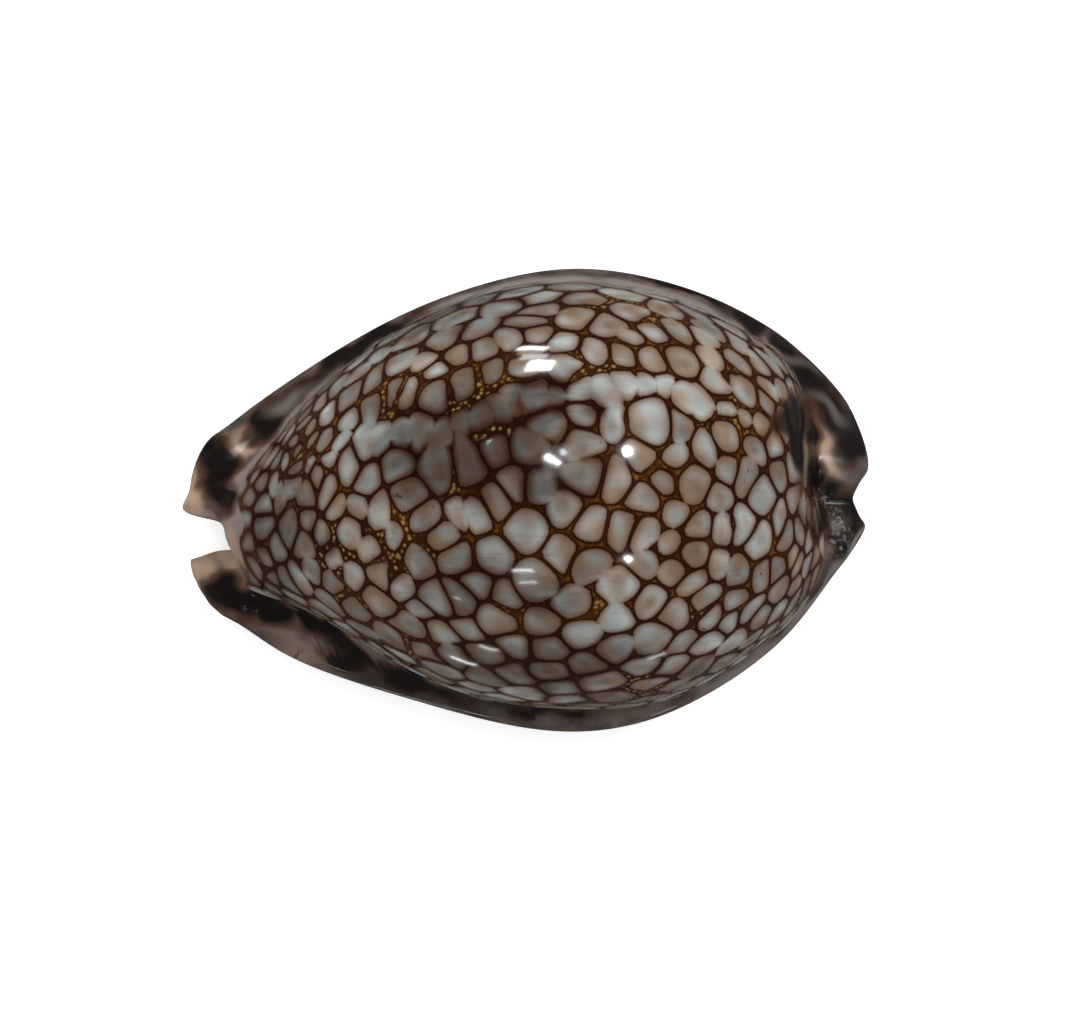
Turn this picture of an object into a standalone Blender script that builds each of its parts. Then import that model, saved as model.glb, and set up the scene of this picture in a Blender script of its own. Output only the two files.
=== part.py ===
"""A reticulated cowrie shell, modelled as the one piece that it grew as.

The shell is a thick sheet curled about its own length, like a rolled leaf. Each
cross-section is drawn in polar form about a centre line: an outer radius, an
inner radius, and a gap at the underside where the two lips face each other
across the aperture. The sections are lofted from the front (anterior) rim to
the back (posterior) rim. The sheet rounds off all along its edge, so the lips,
the prongs and the roofs of both canals end in a rounded rim. Grooves cut across
both lips leave the teeth standing between them.

Frame: +X runs to the back end with the spire, +Y to the outer lip, +Z up.
The shell rests on its base, on Z = 0.
"""

import bmesh
import bpy
import numpy as np

MM = 0.001
NAME = "cowrie_shell"

# Driving dimensions, in millimetres
LENGTH = 65.0
WIDTH = 43.8
HEIGHT = 33.0

HALF_LENGTH = LENGTH / 2
HALF_WIDTH = WIDTH / 2

# Plan outline of the margin, as (share of half length, share of half width)
OUTER_LIP_EDGE = (
    (-1.0, 0.185), (-0.96, 0.24), (-0.9, 0.296), (-0.83, 0.372), (-0.655, 0.553),
    (-0.394, 0.778), (-0.132, 0.926), (0.129, 0.998), (0.39, 0.95), (0.652, 0.8),
    (0.828, 0.612), (0.915, 0.475), (1.0, 0.3),
)
SPIRE_SIDE_EDGE = (
    (-1.0, -0.39), (-0.94, -0.465), (-0.87, -0.512), (-0.745, -0.629), (-0.57, -0.75),
    (-0.31, -0.87), (-0.046, -0.97), (0.155, -0.998), (0.39, -0.932), (0.566, -0.805),
    (0.742, -0.603), (0.915, -0.295), (1.0, -0.15),
)

# Plan outline and ridge line of the domed back, before its rounded hind end
DOME_OUTER_EDGE = (
    (-1.0, -0.03), (-0.89, 0.05), (-0.794, 0.155), (-0.71, 0.31), (-0.615, 0.465),
    (-0.477, 0.635), (-0.335, 0.765), (-0.166, 0.872), (0.0, 0.93), (0.154, 0.945),
    (0.308, 0.92), (0.474, 0.848), (0.615, 0.75), (0.74, 0.645), (1.0, 0.42),
)
DOME_SPIRE_EDGE = (
    (-1.0, -0.32), (-0.883, -0.347), (-0.754, -0.407), (-0.6, -0.498), (-0.505, -0.58),
    (-0.28, -0.765), (-0.126, -0.847), (0.03, -0.885), (0.16, -0.895), (0.3, -0.885),
    (0.43, -0.84), (0.572, -0.738), (0.726, -0.575), (1.0, -0.26),
)
DOME_TOP = (
    (-1.0, 0.235), (-0.89, 0.262), (-0.794, 0.37), (-0.615, 0.62), (-0.37, 0.845),
    (-0.123, 0.965), (0.123, 1.0), (0.37, 0.95), (0.615, 0.785), (0.8, 0.57), (1.0, 0.3),
)
DOME_END_START = 0.68
# Where the dome's hind end closes, as (angle in degrees, share of half length)
DOME_END = ((-90, 0.87), (30, 0.85), (95, 0.85), (130, 0.88), (165, 0.92), (200, 0.92), (270, 0.87))

# The line that the sheet curls about: its sideways offset and its height
AXIS_OFFSET = (
    (-1.0, -2.9), (-0.86, -2.9), (-0.6, -1.6), (-0.3, 0.2), (0.0, 1.1),
    (0.3, 1.5), (0.6, 1.3), (0.86, 0.6), (1.0, 0.3),
)
AXIS_HEIGHT = (
    (-1.0, 4.4), (-0.8, 4.8), (-0.5, 6.2), (-0.12, 7.2), (0.25, 7.5),
    (0.6, 6.6), (0.86, 5.4), (1.0, 5.0),
)
CALLUS_RISE = (
    (-1.0, 2.6), (-0.8, 2.7), (-0.5, 3.2), (0.0, 3.6), (0.5, 3.6), (0.86, 3.3), (1.0, 3.0),
)
BASE_LIFT = (
    (-1.0, 1.0), (-0.8, 0.5), (-0.5, -0.2), (0.0, -0.35), (0.5, -0.25), (0.8, 0.3), (1.0, 0.9),
)
HALF_GAP = (
    (-1.0, 2.1), (-0.85, 1.9), (-0.65, 1.6), (0.0, 1.65), (0.6, 1.5), (0.85, 1.35), (1.0, 1.7),
)
CANAL_RADIUS = ((-1.0, 1.8), (1.0, 1.5))

# Where the sheet ends, front and back, as (angle in degrees, share of half length).
# Zero degrees is the outer lip's side, 90 the ridge of the back, 180 the spire's side.
FRONT_RIM = (
    (-90, -0.955), (-45, -0.965), (0, -0.98), (25, -0.99), (40, -0.998), (53, -0.955), (68, -0.9),
    (95, -0.874), (120, -0.855), (143, -0.84), (162, -0.882), (180, -0.94), (203, -0.98),
    (230, -0.981), (270, -0.955),
)
BACK_RIM = (
    (-90, 0.955), (-45, 0.98), (0, 1.0), (30, 0.997), (60, 0.975), (90, 0.954),
    (120, 0.963), (150, 0.985), (180, 0.993), (225, 0.983), (270, 0.955),
)

# Section shape: a fullness of 2 is an ellipse, and more is squarer
DOME_FULLNESS = 2.2
CALLUS_FULLNESS = 2.3
BASE_FULLNESS = 2.7
FURROW_WIDTH = 2.4
END_FURROW_WIDTH = 4.5
LIP_DIP = 0.7
LIP_DIP_REACH = 3.2

# Swellings (and a groove) round the back canal, as (angle, spread, rise), angles in degrees
BACK_LOBES = ((56, 28, 1.8), (104, 22, -0.9), (145, 26, 0.5))
BACK_LOBES_START = (0.62, 0.87)

# Wall thickness, in millimetres
BACK_WALL = 1.6
MARGIN_WALL = 4.2
BASE_WALL = 4.0
HOLLOW_ENDS = (-0.86, -0.5, 0.6, 0.86)
RIM_ROUNDING = 2.4
# Where the rounded edge lies within the wall: 0 is the inside, 1 the outside
NOSE_PLACE = 0.45
NOSE_SHIFT_TO_SPIRE_SIDE = 0.07
LIP_ROUNDING = 1.9

# Grooves between the teeth, with the stretch of each lip that they cover as shares of its
# length, and how far they reach from the lip's edge along the outside and the inside
OUTER_LIP_GROOVES = 27
SPIRE_LIP_GROOVES = 25
OUTER_LIP_STRETCH = (0.04, 0.96)
SPIRE_LIP_STRETCH = (0.09, 0.92)
GROOVE_DEPTH = 0.42
OUTER_LIP_GROOVE_REACH = 5.0
SPIRE_LIP_GROOVE_REACH = 3.8
INNER_GROOVE_REACH = 2.6

# A dense sheet is lofted first, then thinned to facets where it is flat
COLUMNS = 216
RIM_COLUMNS = 6
SECTION_STEPS = 116
LIP_STEPS = 6
KEPT_SHARE = 0.082

SHELL_COLOUR = (0.36, 0.33, 0.29, 1.0)
SHELL_ROUGHNESS = 0.12


def through(keys):
    """Natural cubic spline through (station, value) keys, as a function of arrays."""
    stations, values = np.array(keys, float).T
    gaps = np.diff(stations)
    slopes = np.diff(values) / gaps
    bends = np.zeros(len(stations))
    if len(stations) > 2:
        system = np.diag(2 * (gaps[:-1] + gaps[1:]))
        system += np.diag(gaps[1:-1], 1) + np.diag(gaps[1:-1], -1)
        bends[1:-1] = np.linalg.solve(system, 6 * np.diff(slopes))

    def curve(at):
        at = np.asarray(at, float)
        i = np.clip(np.searchsorted(stations, at) - 1, 0, len(gaps) - 1)
        gap, left, right = gaps[i], at - stations[i], stations[i + 1] - at
        cubic = (bends[i] * right**3 + bends[i + 1] * left**3) / (6 * gap)
        from_left = (values[i] / gap - bends[i] * gap / 6) * right
        from_right = (values[i + 1] / gap - bends[i + 1] * gap / 6) * left
        return cubic + from_left + from_right

    return curve


def ramp(value, start, end):
    """Smooth step from 0 at start to 1 at end."""
    t = np.clip((value - start) / (end - start), 0, 1)
    return t * t * t * (t * (6 * t - 15) + 10)


def blend(low, high, share):
    return low + (high - low) * share


def smooth_max(a, b, width):
    """The larger of two lengths, with a fillet where they differ by less than this width."""
    near = np.maximum(width - np.abs(a - b), 0) / width
    return np.maximum(a, b) + near**3 * width / 6


def polar_oval(angle, half_width, half_height, fullness):
    """Radius of a superellipse about its centre."""
    across = (np.abs(np.cos(angle)) / half_width) ** fullness
    upwards = (np.abs(np.sin(angle)) / half_height) ** fullness
    return (across + upwards) ** (-1 / fullness)


def half_width(angle, share, outer_edge, spire_edge):
    """Half width about the axis line, passing evenly from the outer lip's side to the spire's."""
    outer = through(outer_edge)(share) * HALF_WIDTH - through(AXIS_OFFSET)(share)
    spire = through(AXIS_OFFSET)(share) - through(spire_edge)(share) * HALF_WIDTH
    return (outer + spire) / 2 + (outer - spire) / 2 * np.cos(angle)


def dome_radius(angle, share, upper):
    """The domed back, which closes in a rounded hind end over the back canal."""
    end = through(DOME_END)(np.degrees(angle))
    hind = np.clip((share - DOME_END_START) / (end - DOME_END_START), 0, 1)
    closing = np.sqrt(1 - hind**3) + 1e-3
    axis = through(AXIS_HEIGHT)(share)
    rise = through(DOME_TOP)(share) * HEIGHT - axis
    width = half_width(angle, share, DOME_OUTER_EDGE, DOME_SPIRE_EDGE)
    return closing * polar_oval(angle, width, blend(0.7 * axis, rise, upper), DOME_FULLNESS)


def callus_radius(angle, share, upper):
    """The thick flange that rims the base, with the swellings round the back canal."""
    degrees = np.degrees(angle)
    swelling = sum(
        rise * np.exp(-(((degrees - centre) / spread) ** 2)) for centre, spread, rise in BACK_LOBES
    )
    top = through(CALLUS_RISE)(share) + swelling * ramp(share, *BACK_LOBES_START)
    bottom = through(AXIS_HEIGHT)(share) - through(BASE_LIFT)(share)
    width = half_width(angle, share, OUTER_LIP_EDGE, SPIRE_SIDE_EDGE)
    fullness = blend(BASE_FULLNESS, CALLUS_FULLNESS, upper)
    return polar_oval(angle, width, blend(bottom, top, upper), fullness)


def outer_radius(angle, share):
    """Outside of the shell: the dome merged with the callus, dipping a little to the aperture."""
    upper = ramp(np.sin(angle), -0.35, 0.35)
    furrow = blend(FURROW_WIDTH, END_FURROW_WIDTH, ramp(np.abs(share), 0.6, 0.85))
    dome = dome_radius(angle, share, upper)
    callus = callus_radius(angle, share, upper)
    radius = smooth_max(dome, callus, furrow)
    beside_aperture = radius * np.cos(angle)
    dip = np.exp(-((beside_aperture / LIP_DIP_REACH) ** 2)) * ramp(-np.sin(angle), 0.2, 0.7)
    return radius - LIP_DIP * dip


def inner_radius(angle, share, outer):
    """Inside of the shell: the outside less the wall, narrowing to a canal at each end."""
    wall = blend(BACK_WALL, MARGIN_WALL, ramp(-np.sin(angle), -0.55, 0.1))
    wall = blend(wall, BASE_WALL, ramp(-np.sin(angle), 0.6, 1.0))
    front_end, front_full, back_full, back_end = HOLLOW_ENDS
    hollow = ramp(share, front_end, front_full) * ramp(share, back_end, back_full)
    canal = through(CANAL_RADIUS)(share)
    return canal + np.maximum(outer - wall - canal, 0) * hollow


def rounded_steps(length, count):
    """Distances in from an edge, and the share of full thickness there, on a quarter circle."""
    turn = np.linspace(0, np.pi / 2, count, endpoint=False)
    return length * (1 - np.cos(turn)), np.sin(turn)


def spread_evenly(crowding, count):
    """Places from 0 to 1, closer together where the crowding function is larger."""
    t = np.linspace(0, 1, 2001)
    amount = np.cumsum(crowding(t))
    return np.interp(np.linspace(amount[0], amount[-1], count), amount, t)


def column_crowding(t):
    return 1 + 1.5 * np.exp(-(((t - 0.91) / 0.05) ** 2)) + 0.8 * np.exp(-((t / 0.08) ** 2))


def section_crowding(t):
    turn = np.pi * (2 * t - 0.5)
    margins = np.exp(-(((np.sin(turn) - 0.15) / 0.35) ** 2))
    lips = np.exp(-((t * (1 - t) / 0.06) ** 2))
    return 0.8 + 0.7 * margins + 0.5 * lips


def columns_along_length():
    """Places along the shell from rim to rim, with the share of full thickness at each."""
    steps, share = rounded_steps(RIM_ROUNDING / LENGTH, RIM_COLUMNS)
    spread = spread_evenly(column_crowding, COLUMNS + 1)
    middle = blend(RIM_ROUNDING / LENGTH, 1 - RIM_ROUNDING / LENGTH, spread)
    along = np.concatenate([steps, middle, 1 - steps[::-1]])
    return along, np.concatenate([share, np.ones(len(middle)), share[::-1]])


def angles_around(first, last, lip_turn):
    """Angles from lip to lip for each column, with the share of full thickness at each."""
    steps, share = rounded_steps(1.0, LIP_STEPS)
    spread = spread_evenly(section_crowding, SECTION_STEPS + 1)
    first, last, lip_turn = first[:, None], last[:, None], lip_turn[:, None]
    before = first + lip_turn * steps
    middle = blend(first + lip_turn, last - lip_turn, spread)
    after = last - lip_turn * steps[::-1]
    thickness = np.concatenate([share, np.ones(len(spread)), share[::-1]])
    return np.concatenate([before, middle, after], axis=1), thickness


def sheet_points():
    """Outside and inside of the sheet, as two grids [column, step] that share their border."""
    along, rim_thickness = columns_along_length()
    front, back = through(FRONT_RIM), through(BACK_RIM)
    lip_share = blend(front(-90), back(-90), along)
    down = np.full_like(along, -np.pi / 2)
    outer = outer_radius(down, lip_share)
    lip_radius = (outer + inner_radius(down, lip_share, outer)) / 2
    opening = np.arcsin(np.minimum(through(HALF_GAP)(lip_share) / lip_radius, 0.85))
    angle, lip_thickness = angles_around(
        -np.pi / 2 + opening, 3 * np.pi / 2 - opening, LIP_ROUNDING / lip_radius
    )
    degrees = np.degrees(angle)
    share = blend(front(degrees), back(degrees), along[:, None])
    outer = outer_radius(angle, share)
    inner = inner_radius(angle, share, outer)
    nose = blend(inner, outer, NOSE_PLACE - NOSE_SHIFT_TO_SPIRE_SIDE * np.cos(angle))
    thickness = rim_thickness[:, None] * lip_thickness

    def place(radius):
        x = share * HALF_LENGTH
        y = through(AXIS_OFFSET)(share) + radius * np.cos(angle)
        z = through(AXIS_HEIGHT)(share) + radius * np.sin(angle)
        return np.stack([x, y, z], axis=-1)

    outside, inside = place(blend(nose, outer, thickness)), place(blend(nose, inner, thickness))
    cut_grooves(outside, inside, along)
    outside[..., 2] = np.maximum(outside[..., 2], 0)
    inside[..., 2] = np.maximum(inside[..., 2], 0)
    return outside, inside


def inward(grid):
    """Unit normals of a grid of the sheet, pointing to the axis line."""
    normal = np.cross(np.gradient(grid, axis=1), np.gradient(grid, axis=0))
    return -normal / np.maximum(np.linalg.norm(normal, axis=-1, keepdims=True), 1e-9)


def groove_row(along, grooves, stretch):
    """Depth along a lip from 0 to 1, deepest once a groove, fading at the ends of the stretch."""
    start, end = stretch
    phase = (along - start) / (end - start) * grooves
    row = (0.5 - 0.5 * np.cos(2 * np.pi * phase)) ** 1.2
    return row * ramp(along, start - 0.005, start + 0.06) * ramp(along, end + 0.005, end - 0.06)


def cut_grooves(outside, inside, along):
    """Moves the points near each lip into the wall, which leaves the teeth between grooves."""
    outer_row = groove_row(along, OUTER_LIP_GROOVES, OUTER_LIP_STRETCH)[:, None]
    spire_row = groove_row(along, SPIRE_LIP_GROOVES, SPIRE_LIP_STRETCH)[:, None]
    for grid, into_wall, reaches in (
        (outside, 1, (OUTER_LIP_GROOVE_REACH, SPIRE_LIP_GROOVE_REACH)),
        (inside, -1, (INNER_GROOVE_REACH, INNER_GROOVE_REACH)),
    ):
        steps = np.linalg.norm(np.diff(grid, axis=1), axis=-1)
        walked = np.concatenate([np.zeros((len(grid), 1)), np.cumsum(steps, axis=1)], axis=1)
        to_go = walked[:, -1:] - walked
        depth = outer_row * ramp(walked, reaches[0], 0.3 * reaches[0])
        depth = depth + spire_row * ramp(to_go, reaches[1], 0.3 * reaches[1])
        grid += into_wall * inward(grid) * (GROOVE_DEPTH * depth)[..., None]
    for step in (0, -1):
        edge = (outside[:, step] + inside[:, step]) / 2
        outside[:, step] = inside[:, step] = edge


def lofted_sheet(outside, inside):
    """Joins the two grids, which share their border, into one closed surface."""
    surface = bmesh.new()
    outer = [[surface.verts.new(point * MM) for point in row] for row in outside]
    columns, steps = outside.shape[:2]
    inner = [list(row) for row in outer]
    for c in range(1, columns - 1):
        for s in range(1, steps - 1):
            inner[c][s] = surface.verts.new(inside[c, s] * MM)
    for c in range(columns - 1):
        for s in range(steps - 1):
            ring = ((c, s), (c + 1, s), (c + 1, s + 1), (c, s + 1))
            surface.faces.new([outer[i][j] for i, j in ring])
            surface.faces.new([inner[i][j] for i, j in reversed(ring)])
    bmesh.ops.recalc_face_normals(surface, faces=surface.faces)
    return surface


def shell_material():
    """Glossy porcelain-like aragonite, in the mean colour of the netted back."""
    material = bpy.data.materials.new("polished_aragonite")
    material.use_nodes = True
    shader = material.node_tree.nodes["Principled BSDF"]
    shader.inputs["Base Color"].default_value = SHELL_COLOUR
    shader.inputs["Roughness"].default_value = SHELL_ROUGHNESS
    shader.inputs["Metallic"].default_value = 0.0
    return material


def main():
    for thing in list(bpy.data.objects):
        bpy.data.objects.remove(thing)
    collection = bpy.data.collections.new(NAME)
    bpy.context.scene.collection.children.link(collection)
    mesh = bpy.data.meshes.new(NAME)
    surface = lofted_sheet(*sheet_points())
    surface.to_mesh(mesh)
    surface.free()
    mesh.materials.append(shell_material())
    mesh.shade_smooth()
    shell = bpy.data.objects.new(NAME, mesh)
    collection.objects.link(shell)
    facets = shell.modifiers.new("facets", "DECIMATE")
    facets.ratio = KEPT_SHARE
    facets.use_collapse_triangulate = True


main()
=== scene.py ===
# %% [markdown]
# # A netted cowrie shell
#
# A cowrie grows as one piece: a sheet of aragonite that curls about its own length until
# the last whorl hides all the others. The animal then coats the whole outside with a
# porcelain-like glaze. The net on the back, the blotches on the margins and the pale line
# across the back are all colour inside that glaze, so the surface itself stays smooth.
#
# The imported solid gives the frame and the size. This notebook rebuilds the same surface on
# a finer grid, works out the net on it, and mixes the glaze's colours.

import bpy
import numpy as np
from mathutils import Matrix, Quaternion


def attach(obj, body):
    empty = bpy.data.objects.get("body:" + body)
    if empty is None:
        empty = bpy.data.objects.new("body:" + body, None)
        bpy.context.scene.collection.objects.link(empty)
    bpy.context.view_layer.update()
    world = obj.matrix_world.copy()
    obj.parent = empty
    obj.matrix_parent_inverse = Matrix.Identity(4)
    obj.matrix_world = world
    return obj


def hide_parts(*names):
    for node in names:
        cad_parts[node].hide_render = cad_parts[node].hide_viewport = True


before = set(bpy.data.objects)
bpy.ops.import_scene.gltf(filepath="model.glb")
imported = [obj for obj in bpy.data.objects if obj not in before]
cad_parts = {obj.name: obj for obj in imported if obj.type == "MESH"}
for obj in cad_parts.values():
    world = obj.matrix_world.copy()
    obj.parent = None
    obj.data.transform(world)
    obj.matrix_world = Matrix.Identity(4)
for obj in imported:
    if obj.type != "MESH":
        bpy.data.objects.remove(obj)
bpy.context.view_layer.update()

NODE = "cowrie_shell"
MM = 0.001

# %% [markdown]
# ## The shape's driving sizes
#
# The shell could be sculpted, or lofted from drawn curves. It is worked out from a few
# named sizes instead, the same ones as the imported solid's, so both surfaces agree
# everywhere and each bump has a cause that can be read. Stations along the length run from
# -1 at the front to 1 at the hind end, as shares of half the length, and angles in a
# section run from 0 at the outer lip's side, over 90 at the ridge, to 180 at the spire's.

# %% Outlines, as (station, share of half the width or of the height)
LENGTH, WIDTH, HEIGHT = 65.0, 43.8, 33.0  # millimetres, as every size below
HALF_LENGTH, HALF_WIDTH = LENGTH / 2, WIDTH / 2

OUTER_LIP_EDGE = (
    (-1.0, 0.185), (-0.96, 0.24), (-0.9, 0.296), (-0.83, 0.372), (-0.655, 0.553),
    (-0.394, 0.778), (-0.132, 0.926), (0.129, 0.998), (0.39, 0.95), (0.652, 0.8),
    (0.828, 0.612), (0.915, 0.475), (1.0, 0.3),
)
SPIRE_SIDE_EDGE = (
    (-1.0, -0.39), (-0.94, -0.465), (-0.87, -0.512), (-0.745, -0.629), (-0.57, -0.75),
    (-0.31, -0.87), (-0.046, -0.97), (0.155, -0.998), (0.39, -0.932), (0.566, -0.805),
    (0.742, -0.603), (0.915, -0.295), (1.0, -0.15),
)
DOME_OUTER_EDGE = (
    (-1.0, -0.03), (-0.89, 0.05), (-0.794, 0.155), (-0.71, 0.31), (-0.615, 0.465),
    (-0.477, 0.635), (-0.335, 0.765), (-0.166, 0.872), (0.0, 0.93), (0.154, 0.945),
    (0.308, 0.92), (0.474, 0.848), (0.615, 0.75), (0.74, 0.645), (1.0, 0.42),
)
DOME_SPIRE_EDGE = (
    (-1.0, -0.32), (-0.883, -0.347), (-0.754, -0.407), (-0.6, -0.498), (-0.505, -0.58),
    (-0.28, -0.765), (-0.126, -0.847), (0.03, -0.885), (0.16, -0.895), (0.3, -0.885),
    (0.43, -0.84), (0.572, -0.738), (0.726, -0.575), (1.0, -0.26),
)
DOME_TOP = (
    (-1.0, 0.235), (-0.89, 0.262), (-0.794, 0.37), (-0.615, 0.62), (-0.37, 0.845),
    (-0.123, 0.965), (0.123, 1.0), (0.37, 0.95), (0.615, 0.785), (0.8, 0.57), (1.0, 0.3),
)
DOME_END_START = 0.68  # where the dome starts to close, and below where it ends, by the angle
DOME_END = ((-90, 0.87), (30, 0.85), (95, 0.85), (130, 0.88), (165, 0.92), (200, 0.92), (270, 0.87))

# %% The line the sheet curls about, the callus, the gap and the wall
AXIS_OFFSET = (
    (-1.0, -2.9), (-0.86, -2.9), (-0.6, -1.6), (-0.3, 0.2), (0.0, 1.1),
    (0.3, 1.5), (0.6, 1.3), (0.86, 0.6), (1.0, 0.3),
)
AXIS_HEIGHT = (
    (-1.0, 4.4), (-0.8, 4.8), (-0.5, 6.2), (-0.12, 7.2), (0.25, 7.5),
    (0.6, 6.6), (0.86, 5.4), (1.0, 5.0),
)
CALLUS_RISE = (
    (-1.0, 2.6), (-0.8, 2.7), (-0.5, 3.2), (0.0, 3.6), (0.5, 3.6), (0.86, 3.3), (1.0, 3.0),
)
BASE_LIFT = (
    (-1.0, 1.0), (-0.8, 0.5), (-0.5, -0.2), (0.0, -0.35), (0.5, -0.25), (0.8, 0.3), (1.0, 0.9),
)
HALF_GAP = (
    (-1.0, 2.1), (-0.85, 1.9), (-0.65, 1.6), (0.0, 1.65), (0.6, 1.5), (0.85, 1.35), (1.0, 1.7),
)
CANAL_RADIUS = ((-1.0, 1.8), (1.0, 1.5))
FRONT_RIM = (  # the station of the sheet's front end, by the angle in degrees
    (-90, -0.955), (-45, -0.965), (0, -0.98), (25, -0.99), (40, -0.998), (53, -0.955), (68, -0.9),
    (95, -0.874), (120, -0.855), (143, -0.84), (162, -0.882), (180, -0.94), (203, -0.98),
    (230, -0.981), (270, -0.955),
)
BACK_RIM = (
    (-90, 0.955), (-45, 0.98), (0, 1.0), (30, 0.997), (60, 0.975), (90, 0.954),
    (120, 0.963), (150, 0.985), (180, 0.993), (225, 0.983), (270, 0.955),
)
DOME_FULLNESS, CALLUS_FULLNESS, BASE_FULLNESS = 2.2, 2.3, 2.7  # 2 is an ellipse, more is squarer
DOME_UNDERSIDE = 0.7  # the dome's oval below the axis line, as a share of that line's height
FURROW_WIDTH, END_FURROW_WIDTH = 2.4, 4.5  # of the fillet between the dome and the callus
LIP_DIP, LIP_DIP_REACH = 0.7, 3.2  # how the base dips beside the aperture
BACK_LOBES = ((56, 28, 1.8), (104, 22, -0.9), (145, 26, 0.5))  # angle, spread, rise
BACK_LOBES_START = (0.62, 0.87)
BACK_WALL, MARGIN_WALL, BASE_WALL = 1.6, 4.2, 4.0
HOLLOW_ENDS = (-0.86, -0.5, 0.6, 0.86)  # a full hollow between the inner two, then a canal
RIM_ROUNDING, LIP_ROUNDING = 2.4, 1.9
NOSE_PLACE, NOSE_SHIFT_TO_SPIRE_SIDE = 0.45, 0.07  # where in the wall the rounded rims end
OUTER_LIP_GROOVES, SPIRE_LIP_GROOVES = 27, 25  # they leave the teeth standing between them
OUTER_LIP_STRETCH, SPIRE_LIP_STRETCH = (0.04, 0.96), (0.09, 0.92)
GROOVE_DEPTH = 0.42
OUTER_GROOVE_REACH, SPIRE_GROOVE_REACH, INNER_GROOVE_REACH = 5.0, 3.8, 2.6

# %% [markdown]
# ## A section in polar form
#
# Each cross-section is a radius as a function of the angle. A table of radii would hide why
# the shell is shaped as it is, so the radius is the larger of two ovals: the domed back and
# the thick callus that rims the base, with a fillet in the furrow between them. Splines
# through a few stations carry both along the length.

# %% Small tools: a spline, a smooth step, a blend and a soft maximum
def through(keys):
    """Natural cubic spline through (station, value) keys: each span is a cubic whose slope
    and bend agree with its neighbours', and the bend is nought at both ends."""
    stations, values = np.array(keys, float).T
    gaps = np.diff(stations)
    bends = np.zeros(len(stations))
    if len(stations) > 2:
        system = np.diag(2 * (gaps[:-1] + gaps[1:]))
        system += np.diag(gaps[1:-1], 1) + np.diag(gaps[1:-1], -1)
        bends[1:-1] = np.linalg.solve(system, 6 * np.diff(np.diff(values) / gaps))

    def curve(at):
        at = np.asarray(at, float)
        i = np.clip(np.searchsorted(stations, at) - 1, 0, len(gaps) - 1)
        gap, left, right = gaps[i], at - stations[i], stations[i + 1] - at
        cubic = (bends[i] * right**3 + bends[i + 1] * left**3) / (6 * gap)
        from_left = (values[i] / gap - bends[i] * gap / 6) * right
        from_right = (values[i + 1] / gap - bends[i + 1] * gap / 6) * left
        return cubic + from_left + from_right

    return curve


def ramp(value, start, end):
    """Smooth step from 0 at start to 1 at end: six t^5 less fifteen t^4 plus ten t^3."""
    t = np.clip((value - start) / (end - start), 0, 1)
    return t * t * t * (t * (6 * t - 15) + 10)


def blend(low, high, share):
    """Low plus a share of the way to high."""
    return low + (high - low) * share


def smooth_max(a, b, width):
    """The larger of two lengths, plus a fillet that grows as the cube of their nearness."""
    near = np.maximum(width - np.abs(a - b), 0) / width
    return np.maximum(a, b) + near**3 * width / 6


# %% The two ovals of a section
def polar_oval(angle, half_width, half_height, fullness):
    """Superellipse: |x / half width|^n + |z / half height|^n = 1, solved for the radius."""
    across = (np.abs(np.cos(angle)) / half_width) ** fullness
    upwards = (np.abs(np.sin(angle)) / half_height) ** fullness
    return (across + upwards) ** (-1 / fullness)


def half_width(angle, share, outer_edge, spire_edge):
    """Half width about the axis line: the mean of both sides plus half their difference
    times the cosine of the angle, so that it passes evenly from side to side."""
    outer = through(outer_edge)(share) * HALF_WIDTH - through(AXIS_OFFSET)(share)
    spire = through(AXIS_OFFSET)(share) - through(spire_edge)(share) * HALF_WIDTH
    return (outer + spire) / 2 + (outer - spire) / 2 * np.cos(angle)


def dome_radius(angle, share, upper):
    """The domed back: an oval, closed at the hind end by the root of one less t cubed, with
    a trace added so that no radius is nought."""
    end = through(DOME_END)(np.degrees(angle))
    hind = np.clip((share - DOME_END_START) / (end - DOME_END_START), 0, 1)
    closing = np.sqrt(1 - hind**3) + 1e-3
    axis = through(AXIS_HEIGHT)(share)
    rise = through(DOME_TOP)(share) * HEIGHT - axis
    width = half_width(angle, share, DOME_OUTER_EDGE, DOME_SPIRE_EDGE)
    return closing * polar_oval(angle, width, blend(DOME_UNDERSIDE * axis, rise, upper), DOME_FULLNESS)


def callus_radius(angle, share, upper):
    """The callus: a low oval, with a bell-shaped swelling for each lobe at the hind end."""
    swelling = sum(
        rise * np.exp(-(((np.degrees(angle) - centre) / spread) ** 2))
        for centre, spread, rise in BACK_LOBES
    )
    top = through(CALLUS_RISE)(share) + swelling * ramp(share, *BACK_LOBES_START)
    bottom = through(AXIS_HEIGHT)(share) - through(BASE_LIFT)(share)
    width = half_width(angle, share, OUTER_LIP_EDGE, SPIRE_SIDE_EDGE)
    fullness = blend(BASE_FULLNESS, CALLUS_FULLNESS, upper)
    return polar_oval(angle, width, blend(bottom, top, upper), fullness)


# %% The outside, the inside and where each rises over the other
def outer_radius(angle, share):
    """Soft maximum of dome and callus, less a bell-shaped dip beside the aperture. It also
    returns how far the dome stands over the callus, which is below nought on the callus."""
    upper = ramp(np.sin(angle), -0.35, 0.35)
    furrow = blend(FURROW_WIDTH, END_FURROW_WIDTH, ramp(np.abs(share), 0.6, 0.85))
    dome = dome_radius(angle, share, upper)
    callus = callus_radius(angle, share, upper)
    radius = smooth_max(dome, callus, furrow)
    dip = np.exp(-((radius * np.cos(angle) / LIP_DIP_REACH) ** 2)) * ramp(-np.sin(angle), 0.2, 0.7)
    return radius - LIP_DIP * dip, dome - callus


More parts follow.
